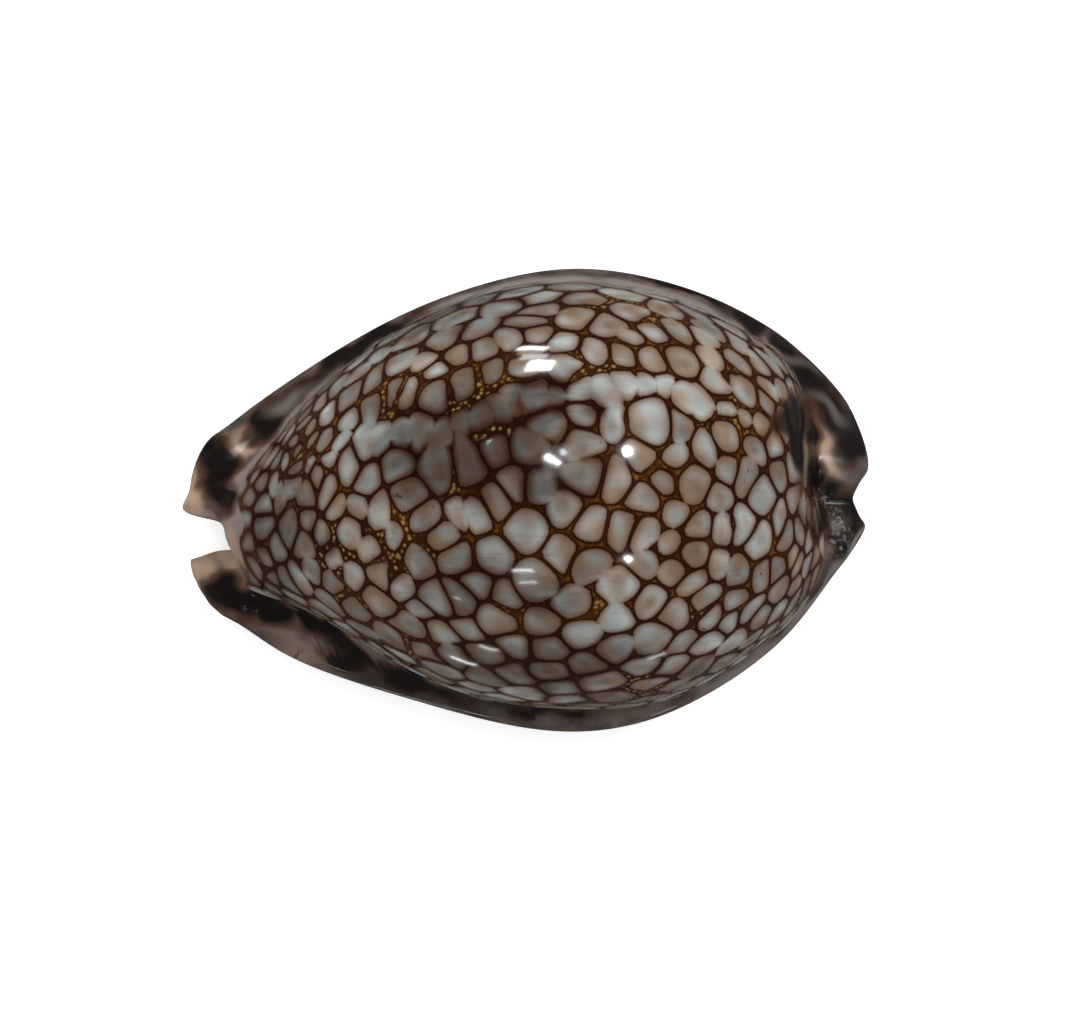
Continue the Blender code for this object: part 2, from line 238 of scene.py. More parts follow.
def inner_radius(angle, share, outer):
    """The outside less the wall, which narrows to a canal's radius towards each end."""
    wall = blend(BACK_WALL, MARGIN_WALL, ramp(-np.sin(angle), -0.55, 0.1))
    wall = blend(wall, BASE_WALL, ramp(-np.sin(angle), 0.6, 1.0))
    front_end, front_full, back_full, back_end = HOLLOW_ENDS
    hollow = ramp(share, front_end, front_full) * ramp(share, back_end, back_full)
    canal = through(CANAL_RADIUS)(share)
    return canal + np.maximum(outer - wall - canal, 0) * hollow


# %% [markdown]
# ## The sheet as two grids
#
# The outside and the inside are two grids of points that share their border. Along the
# border the sheet's thickness falls to nought on a quarter circle, so the lips, the prongs
# and the roofs of the canals end in a rounded rim. One mesh made this way is closed without
# any joining, and every vertex keeps its place along and around the shell, which the
# colours use later. Rows crowd where the surface bends most.

# %% Rows and columns of the grid
COLUMNS, RIM_COLUMNS = 158, 9
SECTION_STEPS, LIP_STEPS = 262, 8
WIDEST_GAP = 0.85  # sine of half the widest angle that the aperture may take up


def rounded_steps(length, count):
    """Quarter circle: a distance of length times one less the cosine, a share of the sine."""
    turn = np.linspace(0, np.pi / 2, count, endpoint=False)
    return length * (1 - np.cos(turn)), np.sin(turn)


def spread_evenly(crowding, count):
    """Places from 0 to 1 at equal steps of the running sum of the crowding function."""
    t = np.linspace(0, 1, 2001)
    amount = np.cumsum(crowding(t))
    return np.interp(np.linspace(amount[0], amount[-1], count), amount, t)


def column_crowding(t):
    """One, plus a bell at the hind furrow and a smaller one at the front."""
    return 1 + 1.5 * np.exp(-(((t - 0.91) / 0.05) ** 2)) + 0.8 * np.exp(-((t / 0.08) ** 2))


def section_crowding(t):
    """A constant, plus bells at the margins and at the lips."""
    margins = np.exp(-(((np.sin(np.pi * (2 * t - 0.5)) - 0.15) / 0.35) ** 2))
    return 0.8 + 0.7 * margins + 0.5 * np.exp(-((t * (1 - t) / 0.06) ** 2))


# %% Grooves between the teeth
def groove_row(along, grooves, stretch):
    """A raised cosine to the power 1.2, one crest a groove, faded at the stretch's ends."""
    start, end = stretch
    crest = (0.5 - 0.5 * np.cos(2 * np.pi * (along - start) / (end - start) * grooves)) ** 1.2
    return crest * ramp(along, start - 0.005, start + 0.06) * ramp(along, end + 0.005, end - 0.06)


def inward(grid):
    """Unit normals that point to the axis line: the cross product of the grid's gradients."""
    normal = np.cross(np.gradient(grid, axis=0), np.gradient(grid, axis=1))
    return normal / np.maximum(np.linalg.norm(normal, axis=-1, keepdims=True), 1e-9)


def arc_lengths(grid, axis):
    """Running sum of the distances between neighbouring points, from nought."""
    steps = np.linalg.norm(np.diff(grid, axis=axis), axis=-1)
    return np.pad(np.cumsum(steps, axis=axis), [(1, 0) if a == axis else (0, 0) for a in (0, 1)])


def groove_pattern(grid, along, outer_reach, spire_reach):
    """Each lip's row of grooves, fading over its reach as the surface leads away from it.
    It also returns how much of a tooth each point is: the same reach, less the groove."""
    walked = arc_lengths(grid, 1)
    to_go = walked[:, -1:] - walked
    outer = groove_row(along, OUTER_LIP_GROOVES, OUTER_LIP_STRETCH)[:, None]
    spire = groove_row(along, SPIRE_LIP_GROOVES, SPIRE_LIP_STRETCH)[:, None]
    at_outer = ramp(walked, outer_reach, 0.3 * outer_reach)
    at_spire = ramp(to_go, spire_reach, 0.3 * spire_reach)
    toothed = ramp(along, 0.02, 0.08) * ramp(along, 0.98, 0.92)
    teeth = toothed[:, None] * (at_outer * (1 - 2 * outer) + at_spire * (1 - 2 * spire))
    return outer * at_outer + spire * at_spire, teeth


# %% Stations, angles and thickness of the sheet
def sheet_grid():
    """At point (along, turn) the station runs from the front rim to the back rim at that
    angle, and the angle runs from lip to lip. The thickness, as a share of the wall, is the
    product of two quarter circles, one at the rims and one at the lips."""
    steps, rim = rounded_steps(RIM_ROUNDING / LENGTH, RIM_COLUMNS)
    middle = spread_evenly(column_crowding, COLUMNS + 1)
    middle = blend(RIM_ROUNDING / LENGTH, 1 - RIM_ROUNDING / LENGTH, middle)
    along = np.concatenate([steps, middle, 1 - steps[::-1]])
    rim = np.concatenate([rim, np.ones(len(middle)), rim[::-1]])

    front, back = through(FRONT_RIM), through(BACK_RIM)
    lip_share = blend(front(-90), back(-90), along)
    down = np.full_like(along, -np.pi / 2)
    outer, _ = outer_radius(down, lip_share)
    lip_radius = (outer + inner_radius(down, lip_share, outer)) / 2
    opening = np.arcsin(np.minimum(through(HALF_GAP)(lip_share) / lip_radius, WIDEST_GAP))[:, None]
    lip_turn = (LIP_ROUNDING / lip_radius)[:, None]

    steps, lip = rounded_steps(1.0, LIP_STEPS)
    spread = spread_evenly(section_crowding, SECTION_STEPS + 1)
    first, last = -np.pi / 2 + opening, 3 * np.pi / 2 - opening
    around = blend(first + lip_turn, last - lip_turn, spread)
    angle = np.concatenate([first + lip_turn * steps, around, last - lip_turn * steps[::-1]], axis=1)
    lip = np.concatenate([lip, np.ones(len(spread)), lip[::-1]])

    degrees = np.degrees(angle)
    share = blend(front(degrees), back(degrees), along[:, None])
    return along, angle, share, rim[:, None] * lip


# %% The sheet
def shell_sheet():
    """Each point stands at its radius from the axis line. The radius lies between the nose,
    where the rounded rims end, and the outside's or the inside's, by the thickness. The
    teeth's grooves are pressed in along the normals. Returns the grids by name."""
    along, angle, share, thickness = sheet_grid()
    outer, dome_over = outer_radius(angle, share)
    inner = inner_radius(angle, share, outer)
    nose = blend(inner, outer, NOSE_PLACE - NOSE_SHIFT_TO_SPIRE_SIDE * np.cos(angle))

    def place(radius):
        """Points at that radius from the axis line, at every station and angle."""
        y = through(AXIS_OFFSET)(share) + radius * np.cos(angle)
        z = through(AXIS_HEIGHT)(share) + radius * np.sin(angle)
        return np.stack([share * HALF_LENGTH, y, z], axis=-1)

    outside, inside = place(blend(nose, outer, thickness)), place(blend(nose, inner, thickness))
    grooves, teeth = groove_pattern(outside, along, OUTER_GROOVE_REACH, SPIRE_GROOVE_REACH)
    outside += inward(outside) * (GROOVE_DEPTH * grooves)[..., None]
    hidden, hidden_teeth = groove_pattern(inside, along, INNER_GROOVE_REACH, INNER_GROOVE_REACH)
    inside -= inward(inside) * (GROOVE_DEPTH * hidden)[..., None]
    for edge in (np.s_[:, 0], np.s_[:, -1], np.s_[0], np.s_[-1]):
        outside[edge] = inside[edge] = (outside[edge] + inside[edge]) / 2
    outside[..., 2], inside[..., 2] = np.maximum(outside[..., 2], 0), np.maximum(inside[..., 2], 0)
    return {
        "outside": outside, "inside": inside, "angle": angle, "dome_over": dome_over,
        "teeth": teeth, "hidden_teeth": hidden_teeth, "share": share,
    }


sheet = shell_sheet()
outside, inside, angle = sheet["outside"], sheet["inside"], sheet["angle"]
print("grid:", outside.shape[:2], "tallest point, mm:", outside[..., 2].max().round(2))

# %% [markdown]
# ## One closed mesh
#
# The two grids could be two objects, but the real shell is one body, so they become one
# mesh. The inside grid uses the outside grid's own vertices along the border, and its faces
# run the other way round, so that every face points out of the wall.

# %% Vertices and faces
def quads(index):
    """The four corners of each square of a grid of vertex numbers."""
    corners = index[:-1, :-1], index[:-1, 1:], index[1:, 1:], index[1:, :-1]
    return np.stack(corners, axis=-1).reshape(-1, 4)


columns, steps = outside.shape[:2]
hidden_shape = (columns - 2, steps - 2)
outer_index = np.arange(columns * steps).reshape(columns, steps)
inner_index = outer_index.copy()
inner_index[1:-1, 1:-1] = columns * steps + np.arange(np.prod(hidden_shape)).reshape(hidden_shape)
points = np.concatenate([outside.reshape(-1, 3), inside[1:-1, 1:-1].reshape(-1, 3)])
outer_faces = quads(outer_index)
faces = np.concatenate([outer_faces, quads(inner_index)[:, ::-1]])

mesh = bpy.data.meshes.new("shell_glaze")
mesh.from_pydata((points * MM).tolist(), [], faces.tolist())
mesh.shade_smooth()
shell = bpy.data.objects.new("shell_glaze", mesh)
bpy.context.scene.collection.objects.link(shell)

a, b, c, d = (points[faces[:, i]] for i in range(4))
volume = (np.cross(a, b) * c + np.cross(a, c) * d).sum() / 6
print("triangles:", 2 * len(faces), "volume, cm3:", round(volume / 1000, 2))


# %% Helpers that gather and write a value for each vertex
def store(name, values, domain="POINT"):
    """Writes a number, or three, for each vertex or each face corner."""
    kind = "FLOAT" if values.ndim == 1 else "FLOAT_VECTOR"
    attribute = mesh.attributes.new(name, kind, domain)
    attribute.data.foreach_set("value" if values.ndim == 1 else "vector", values.astype("f").ravel())


def everywhere(on_outside, on_inside=0.0):
    """A value for each vertex: the outside grid's, then the inside grid's or one number."""
    rest = np.broadcast_to(on_inside, on_outside.shape)[1:-1, 1:-1]
    shape = on_outside.shape[2:]
    return np.concatenate([on_outside.reshape(-1, *shape), rest.reshape(-1, *shape)])


# %% [markdown]
# ## Where the net's cells lie
#
# The cells are rounded polygons a good 3 mm across in the middle of the back, wider down
# the flanks and little over 2 mm at the ends. A Voronoi texture would give them, but its
# cells are slices of a solid pattern, so they vary far more than real ones. Here the cells'
# centres are spread over the surface itself: each new centre goes to the place that is
# farthest from all earlier ones, counted in cells of the size wanted there. Then each moves
# to the middle of its own cell a few times, which evens the cells out. The pale line's
# centres are set first, close together. Every later step reads these few hundred centres.

# %% Smooth randomness, and patches with a soft edge
def swell(at, wavelength, seed, waves=10):
    """A sum of sine waves of one wavelength in random directions, with a spread of one."""
    rng = np.random.default_rng(seed)
    heading = rng.normal(size=(waves, 3))
    heading /= np.linalg.norm(heading, axis=1, keepdims=True)
    phase = at @ heading.T * (2 * np.pi / wavelength) + rng.uniform(0, 2 * np.pi, waves)
    return np.sin(phase).sum(-1) * np.sqrt(2 / waves)


def soft_ovals(at, patches):
    """Ovals in plan, each with a flat middle and a soft edge: the deepest of the patches'
    depths times e to the minus 0.7 r cubed, where r squared is (u / half length)^2 plus
    (v / half width)^2."""
    deepest = np.zeros(at.shape[:-1])
    for x, y, half_length, half_width, turn, depth in patches:
        across, up = at[..., 0] - x, at[..., 1] - y
        cosine, sine = np.cos(np.radians(turn)), np.sin(np.radians(turn))
        u, v = (across * cosine + up * sine) / half_length, (up * cosine - across * sine) / half_width
        deepest = np.maximum(deepest, depth * np.exp(-((u**2 + v**2) ** 1.5) * 0.7))
    return deepest


def wobbled(amount, wavelength, seeds):
    """The shell's points, with each coordinate moved by a swell of its own."""
    return points + amount * np.stack([swell(points, wavelength, seed) for seed in seeds], axis=-1)


# %% How wide the cells are
CELL_WIDTH = (  # in millimetres, by the station along the length
    (-1.0, 2.2), (-0.75, 2.5), (-0.45, 2.85), (0.0, 3.1), (0.3, 3.1), (0.6, 2.8), (0.8, 2.5),
    (1.0, 2.2),
)
CELL_VARIETY = 0.15  # how far the width wanders from place to place, by two swells
FLANK_GROWTH = 0.32  # how much wider the cells are down the flanks, away from the ends
CENTRE_GAP = 0.79  # least gap between centres, as a share of the cells' width
NET_OVERLAP = 0.9  # how far the net runs on under the callus
BACK_FROM = -0.3  # sine of the lowest angle at which the net is worked out

on_back = (sheet["dome_over"] > -NET_OVERLAP) & (np.sin(angle) > BACK_FROM)
places, station = outside[on_back], sheet["share"][on_back]
flank = ramp(np.abs(np.cos(angle[on_back])), 0.45, 0.95) * ramp(np.abs(station), 0.85, 0.5)
width = through(CELL_WIDTH)(station) * (1 + FLANK_GROWTH * flank)
width = width * (1 + CELL_VARIETY * (0.8 * swell(places, 8.0, 1) + 0.8 * swell(places, 3.5, 2)))
print("wanted widths of most cells, mm:", np.percentile(width, (10, 90)).round(1))

# %% Two ways to spread centres over points
def scatter(at, width, first):
    """Farthest-point sampling: the next centre is the point whose distance to the nearest
    centre, as a share of the gap wanted there, is the largest, until none is above one."""
    nearest = np.full(len(at), np.inf)
    chosen, latest = list(first), list(first)
    while True:
        for one in latest:
            distance = np.linalg.norm(at - at[one], axis=1) / (CENTRE_GAP * width)
            nearest = np.minimum(nearest, distance)
        latest = [int(np.argmax(nearest))]
        if nearest[latest[0]] < 1:
            return np.array(chosen)
        chosen += latest


def evened(centres, at, weight):
    """One round of evening out: each centre moves to the weighted mean of the points that
    are nearer to it than to any other centre."""
    own = np.argmin(np.linalg.norm(at[:, None] - centres, axis=-1), axis=1)
    total = np.bincount(own, weight, len(centres))
    sums = [np.bincount(own, weight * at[:, axis], len(centres)) for axis in range(3)]
    return np.stack(sums, axis=-1) / total[:, None]


# %% The pale line's centres, then all the others
PALE_LINE = (  # in plan, mm, from the front end to the hind end
    (-26.0, -1.6), (-24.0, 0.0), (-21.4, 2.0), (-18.4, 3.7), (-14.6, 6.0), (-8.6, 6.4),
    (-5.7, 6.8), (-2.9, 7.8), (-1.0, 9.2), (4.7, 10.3), (11.4, 10.5), (14.1, 10.1),
    (16.2, 8.9), (20.4, 7.8), (22.2, 7.0),
)
PALE_STEP, PALE_WANDER = 1.9, 0.3  # from centre to centre along the pale line, and aside
PALE_SEED = 5
UPHILL = 0.01  # of two places alike in plan, the higher one is meant
EVENING_ROUNDS = 5

line = np.array(PALE_LINE)
walked = np.concatenate([[0], np.cumsum(np.linalg.norm(np.diff(line, axis=0), axis=1))])
stops = np.arange(0, walked[-1], PALE_STEP)
stops = np.stack([np.interp(stops, walked, line[:, 0]), np.interp(stops, walked, line[:, 1])], axis=-1)
stops += np.random.default_rng(PALE_SEED).normal(0, PALE_WANDER, stops.shape)
uphill = UPHILL * places[:, 2]
pale_places = [int(np.argmin(np.hypot(*(places[:, :2] - stop).T) - uphill)) for stop in stops]
centres = places[scatter(places, width, pale_places)]
pale_cells = len(pale_places)

spans = [np.linalg.norm(np.gradient(outside, axis=axis), axis=-1) for axis in (0, 1)]
area = (spans[0] * spans[1])[on_back]
for _ in range(EVENING_ROUNDS):
    centres[pale_cells:] = evened(centres, places, area / width**2)[pale_cells:]
print("cells:", len(centres), "of which on the pale line:", pale_cells)

# %% [markdown]
# ## Walls between the cells
#
# A wall is where two centres are equally near. The difference of the squared distances to
# two centres is a plain linear function of place, so a depth worked out from it runs nearly
# straight across a small face: the face's corners store it, and the renderer keeps the walls
# sharp at any distance. Real cells are rounded like pebbles and the walls thicken at their
# corners, so each cell's depth is a soft minimum over all its walls. Each face keeps the
# depths of its six nearest cells, and the net is where none of them is deep. Real walls
# curve a little, so the places are bent by a slow wobble first. Some walls never closed:
# they taper off from their corners as stubs, and two cells run into one. Along the pale line
# only short stubs are left of any wall, and some of the cells beside it are open to it.

# %% Which walls never closed
WALL_HALF_WIDTH = 0.13
WOBBLE, WOBBLE_LENGTH = 0.2, 5.0
BROKEN_WALLS, OPEN_TO_LINE = 0.15, 0.2  # of all walls, and of the cells beside the line
STUB, LINE_STUB = (0.55, 0.85), (0.25, 0.7)  # lengths of the stubs that are left, in mm
LINE_SQUEEZE = 0.12  # how far the pale line's own walls stand nearer its middle, in mm
NET_SEED = 12

rng = np.random.default_rng(NET_SEED)
count = len(centres)
on_line = np.arange(count) < pale_cells
broken = rng.random((count, count)) < BROKEN_WALLS
stub = np.where(broken, rng.uniform(*STUB, (count, count)), np.inf)
open_to_line = on_line | (rng.random(count) < OPEN_TO_LINE)
to_line = np.where(open_to_line, rng.uniform(*LINE_STUB, count), np.inf)
stub = np.where(on_line[:, None], to_line, stub)  # the line's cells have the lowest numbers
stub = np.triu(stub, 1) + np.triu(stub, 1).T
print("walls that never closed:", round(100 * np.isfinite(stub).mean()), "%")

# %% Depth inside each face's six nearest cells
SHARPNESS = (11.0, 17.0)  # of a cell's corners: the soft minimum works over a share of the width
LINE_SHARPNESS = 1.7  # how much sharper the pale line's cells are
NEIGHBOURS, KEPT_CELLS = 12, 6

bent = wobbled(WOBBLE, WOBBLE_LENGTH, (3, 4, 5))
face_on_back = on_back.ravel()[outer_faces].any(axis=1)
corners = bent[outer_faces[face_on_back]]
distance = np.linalg.norm(corners.mean(axis=1)[:, None] - centres, axis=-1)
near = np.argsort(distance, axis=1)[:, :NEIGHBOURS]
square = ((corners[:, :, None] - centres[near][:, None]) ** 2).sum(-1)
sharpness = rng.uniform(*SHARPNESS, count) / through(CELL_WIDTH)(centres[:, 0] / HALF_LENGTH)
sharpness[on_line] *= LINE_SHARPNESS


def depth_inside(own):
    """Depth in the own cell: minus the log of the sum of e to the minus each wall's
    distance. A wall's distance is half the difference of the squared distances over the
    centres' gap. A stub's grows by (the way to its corner over its length)^4, and
    reaches half the wall's width at the stub's tip. The pale line's own walls stand a
    little nearer its middle, and a cell's walls towards the line count as one wall."""
    others = np.delete(np.arange(NEIGHBOURS), own)
    pair = near[:, [own]], near[:, others]
    gap = np.linalg.norm(centres[pair[0]] - centres[pair[1]], axis=-1)
    to_wall = (square[..., others] - square[..., [own]]) / (2 * gap[:, None])
    to_wall += LINE_SQUEEZE * (1.0 * on_line[pair[1]] - on_line[pair[0]])[:, None]
    least = np.sort(to_wall, axis=-1)[..., :2]
    to_corner = np.where(to_wall == least[..., :1], least[..., 1:], least[..., :1])
    outside_line = np.where(on_line[pair[1]][:, None], np.inf, to_wall).min(-1, keepdims=True)
    one_wall = (on_line[pair[1]] & ~on_line[pair[0]])[:, None]
    to_corner = np.where(one_wall, outside_line, to_corner)
    lift = WALL_HALF_WIDTH * (np.maximum(to_corner, 0) / stub[pair][:, None]) ** 4
    sharp = sharpness[near[:, own]][:, None]
    return -np.log(np.exp(-sharp[..., None] * (to_wall + lift)).sum(-1)) / sharp


FAR = 9.0  # stands for far from any wall, or from the dome
depths = np.stack([depth_inside(own) for own in range(KEPT_CELLS)], axis=-1)
for name, kept in (("nearer_cells", depths[..., :3]), ("farther_cells", depths[..., 3:])):
    cell_depths = np.full((len(faces), 4, 3), FAR)
    cell_depths[: len(outer_faces)][face_on_back] = kept
    store(name, cell_depths.reshape(-1, 3), "CORNER")
print("deepest place in a cell, mm:", round(float(depths.max()), 2))

# %% [markdown]
# ## Colour of each cell
#
# Between the walls the glaze is pearl grey, cooler or warmer from one part of the back to
# the next, a little different in each cell, and clouded within it. Some cells have a brown
# middle. Each centre draws how warm and how light it is, and a vertex mixes its nearest
# centres' draws by a soft rule, so cells that run into one another share their colours too.
# The pale line's cells mix over a longer way, so that the line is even in colour.

# %% How light and how warm each cell is
def linear(hex_colour):
    """sRGB to linear light: ((c + 0.055) / 1.055) to the power 2.4, or c / 12.92 in the dark."""
    c = np.array([int(hex_colour[i : i + 2], 16) for i in (1, 3, 5)]) / 255
    return np.where(c > 0.04045, ((c + 0.055) / 1.055) ** 2.4, c / 12.92)


CELL_COOL, CELL_WARM, CELL_MIDDLE = linear("#a3a8a5"), linear("#907c69"), linear("#54463d")
PAINTED_LIGHT_PATCHES = (  # painted light: where the back is drawn lightest, as if lit most, in plan: x, y, half length, half width, turn, depth
    (12.0, 11.5, 10.0, 6.5, -25, 1.0), (17.0, -7.0, 9.0, 6.0, 10, 0.5), (-16.0, -1.0, 6.0, 6.0, 0, 0.6),
)
MEAN_LIGHTNESS, DARKEST, LIGHTEST = 0.8, 0.5, 1.08
LIGHT_BY_PLACE, LIGHT_BY_CELL, LIGHT_IF_PAINTED_LIT, LIGHT_ON_LINE = 0.07, 0.11, 0.14, 0.1
WARM_BY_PLACE, WARM_BY_CELL, PALE_IS_COOL = 0.13, 0.09, 0.7
BROWN_MIDDLES, MIDDLE_DEPTH = 0.3, (0.2, 0.6)  # share of cells with a brown middle, how brown

own_draw = np.where(on_line, 0, rng.normal(0, 1, (2, count)))
lightness = MEAN_LIGHTNESS + LIGHT_BY_PLACE * swell(centres, 10.0, 22) + LIGHT_BY_CELL * own_draw[0]
# painted light: the cells in these patches are drawn lighter
lightness = lightness + LIGHT_IF_PAINTED_LIT * soft_ovals(centres, PAINTED_LIGHT_PATCHES)
lightness = np.clip(lightness + LIGHT_ON_LINE * on_line, DARKEST, LIGHTEST)
warmth = 0.5 - PALE_IS_COOL * (lightness - MEAN_LIGHTNESS)
warmth = warmth + WARM_BY_PLACE * swell(centres, 16.0, 21) + WARM_BY_CELL * own_draw[1]
middle_depth = np.where(rng.random(count) < BROWN_MIDDLES, rng.uniform(*MIDDLE_DEPTH, count), 0)
middle_depth[on_line] = 0
print("lightness of the cells:", lightness.min().round(2), "to", lightness.max().round(2))

# %% Colour of each vertex on the back
COLOUR_BLEED, LINE_BLEED = 0.16, 0.7  # millimetres over which two cells' colours mix
MIDDLE_REACH = 0.9  # of a brown middle, in millimetres
WARM_CLOUDING, LIGHT_CLOUDING = 0.3, 0.08  # within a cell

nearby = np.argpartition(np.linalg.norm(places[:, None] - centres, axis=-1), 4, axis=1)[:, :4]
bent_places = bent[: columns * steps].reshape(outside.shape)[on_back]
gap = np.linalg.norm(bent_places[:, None] - centres[nearby], axis=-1)
bleed = np.where(on_line[nearby], LINE_BLEED, COLOUR_BLEED)
weight = np.exp(-(gap - gap.min(axis=1, keepdims=True)) / bleed)
weight /= weight.sum(axis=1, keepdims=True)
warm = (weight * warmth[nearby]).sum(1) + WARM_CLOUDING * swell(places, 2.8, 23)
light = (weight * lightness[nearby]).sum(1) * (1 + LIGHT_CLOUDING * swell(places, 2.4, 24))
brown = (weight * middle_depth[nearby] * np.exp(-((gap / MIDDLE_REACH) ** 2))).sum(1)

colour_grid = np.zeros(outside.shape)
colour_grid[on_back] = blend(CELL_COOL, CELL_WARM, np.clip(warm, 0, 1)[:, None]) * light[:, None]
colour_grid[on_back] = blend(colour_grid[on_back], CELL_MIDDLE, brown[:, None])
store("cell_colour", everywhere(colour_grid))

# %% [markdown]
# ## Smoke, blotches and cream, with painted shade, sheen, highlights and glints
#
# Smoky clouds lie under the glaze beside the pale line, and more clouds along the flanks are
# painted shade. The thick margins have dark blotches of a width with the flange, cream on the
# prongs and on the bulge behind the spire, partly a painted highlight where they are lit, a
# dust of pale speckles on the hind patch and the lower front margin that are painted glints,
# and a paler grey stretch along the hind rim, partly painted sheen, with painted highlights
# on the flange's low ridges. All of them are few and large, so each is named here by its
# place in plan, its half length, half width and turn. Random blotches would be less work, but
# they would miss how the real ones follow the flange.

# %% Places in plan: x, y, half length, half width in mm, turn in degrees, depth
# smoke and painted shade: the clouds beside the pale line are smoke in the glaze, the clouds along the
# upper and lower flanks are painted shade
SMOKE_AND_SHADE_CLOUDS = (
    (-5.0, 5.2, 8.5, 4.4, 5, 1.15), (-25.0, -3.0, 6.0, 9.0, 0, 0.5), (0.9, 8.3, 2.9, 2.6, 30, 1.3),
    (6.0, 8.2, 1.6, 1.4, 0, 0.6), (2.0, 2.6, 4.6, 3.6, 0, 0.9), (-4.5, -7.5, 4.6, 3.4, 10, 0.6),
    (-20.0, -3.9, 3.2, 1.5, 0, 0.6), (-4.0, 17.0, 8.0, 2.8, 12, 0.45),
    (2.5, -15.0, 11.0, 3.0, -4, 0.65), (1.8, -9.0, 2.6, 2.0, 0, 0.6),
)
MARGIN_SHADE = (
    (27.8, 10.4, 7.5, 2.4, -54, 0.95), (20.2, 17.6, 5.0, 0.7, -33, 0.9), (-17.0, 13.4, 9.0, 1.3, 31, 0.75),
    (-3.0, -19.2, 13.0, 1.5, -5, 0.9), (12.0, -18.6, 7.0, 0.8, 18, 0.6), (-13.5, -17.0, 6.0, 1.8, -24, 0.9),
    (29.6, -1.2, 3.4, 2.0, -45, 0.85), (26.2, -9.4, 8.0, 0.9, 50, 0.75), (-8.0, 19.2, 8.0, 0.5, 14, 0.5),
    (6.0, 21.2, 8.0, 0.45, -2, 0.6), (-24.0, 8.8, 3.5, 1.3, 35, 0.55),
)
GRAIN_PATCHES = (
    (-10.9, 10.4, 1.7, 0.8, 15, 1.0), (-2.2, 10.3, 0.9, 1.1, 0, 1.0), (6.2, 13.1, 0.8, 0.9, 0, 1.0),
    (11.4, 2.5, 1.3, 0.8, 0, 1.0), (-19.8, 4.7, 1.7, 0.8, 40, 1.0), (6.8, 17.8, 1.2, 0.7, 0, 1.0),
    (19.1, 11.8, 0.6, 1.2, 0, 1.0), (-6.4, 1.3, 0.5, 1.4, 0, 0.8), (9.1, 7.5, 0.6, 0.8, 0, 0.9),
    (16.6, 7.0, 0.7, 0.5, 0, 0.9), (-14.4, -9.4, 1.4, 0.8, 0, 0.7), (19.4, -2.2, 1.2, 0.8, 0, 0.7),
)
DARK_BLOTCHES = (
    (-28.9, 3.1, 1.8, 2.5, 12, 1.0), (-30.2, 4.6, 1.3, 1.0, 45, 1.0), (-28.9, 0.9, 1.2, 2.2, 14, 1.0),
    (-25.0, 7.4, 1.9, 1.3, 38, 1.0), (-22.3, 9.6, 2.8, 1.2, 35, 0.5), (-15.4, 14.6, 6.5, 0.8, 29, 1.0),
    (-27.0, -9.2, 3.2, 1.9, -15, 1.0), (-23.6, -10.4, 3.2, 1.5, -25, 1.0), (-21.6, -14.3, 0.5, 0.7, 0, 0.4),
    (-19.8, -14.2, 0.6, 0.8, 0, 0.5), (-16.9, -13.9, 5.6, 0.7, -36, 1.0),
    (-20.0, -11.4, 3.6, 0.8, -38, 1.0), (-17.0, -15.6, 2.2, 0.8, -25, 1.0),
    (-11.0, -16.9, 5.2, 0.9, -21, 0.95), (0.6, -19.8, 1.8, 0.5, 0, 1.0), (4.2, -20.1, 1.6, 0.5, 0, 1.0),
    (-1.5, -19.1, 6.0, 0.9, -6, 0.5), (13.0, -18.4, 3.5, 0.6, 22, 0.4), (14.9, 20.1, 5.0, 0.4, -19, 1.0),
    (21.6, 16.6, 1.8, 0.8, -38, 1.0), (24.6, 14.2, 2.0, 0.9, -48, 1.0), (27.0, 11.4, 2.0, 1.4, -50, 1.0),
    (29.3, 8.2, 2.2, 1.5, -58, 0.95), (31.0, 5.6, 1.7, 2.4, -8, 1.0), (28.8, -1.4, 3.0, 2.3, -50, 1.3),
    (30.0, -3.6, 2.4, 1.2, -50, 1.2), (26.4, -5.2, 0.5, 0.8, 0, 0.4), (27.4, -3.6, 0.5, 0.6, 0, 0.45),
)
# cream and painted highlight: the prong tips and the hind bulge are cream, and the lit top edge of the
# upper prong and the bulge's lit slope are painted highlight
CREAM_AND_HIGHLIGHT_PATCHES = (
    (-32.0, 0.6, 1.6, 2.6, 0, 1.0), (-31.2, -6.8, 1.6, 1.9, 0, 1.0), (-27.9, -5.0, 1.3, 3.0, 12, 0.8),
    (-27.0, 5.4, 2.0, 0.9, 38, 0.9), (28.2, 4.0, 0.9, 2.3, 8, 1.0), (28.9, 1.9, 0.8, 0.9, 30, 0.6),
    (-21.5, -14.4, 2.6, 0.9, -33, 0.35),
)
# paler grey and painted sheen: a paler grey along the rims, painted sheen on the lower hind rim's edge, and
# painted highlights on the low ridges of the upper hind flange
PALE_RIM_AND_SHEEN = (
    (30.6, -4.9, 3.2, 0.45, 58, 1.0), (26.9, -9.8, 4.5, 0.4, 50, 0.8), (20.6, -15.7, 6.0, 0.5, 38, 0.7),
    (25.8, 12.8, 1.9, 0.5, -22, 0.35), (28.9, 8.6, 2.4, 0.5, -38, 0.4), (22.2, 15.4, 1.6, 0.4, -10, 0.25),
    (18.0, 17.4, 2.6, 0.4, -24, 0.3), (-22.5, 9.4, 2.0, 0.6, 30, 0.5),
)
BACK_BLOTCHES = (
    (26.0, 5.5, 1.6, 3.8, 4, 1.2), (24.9, 7.2, 2.0, 2.0, 0, 0.75), (26.8, 1.8, 0.8, 2.6, 8, 0.9),
    (27.6, -2.0, 0.8, 2.2, -10, 0.7), (-0.5, 8.4, 0.5, 1.0, 0, 0.6),
)
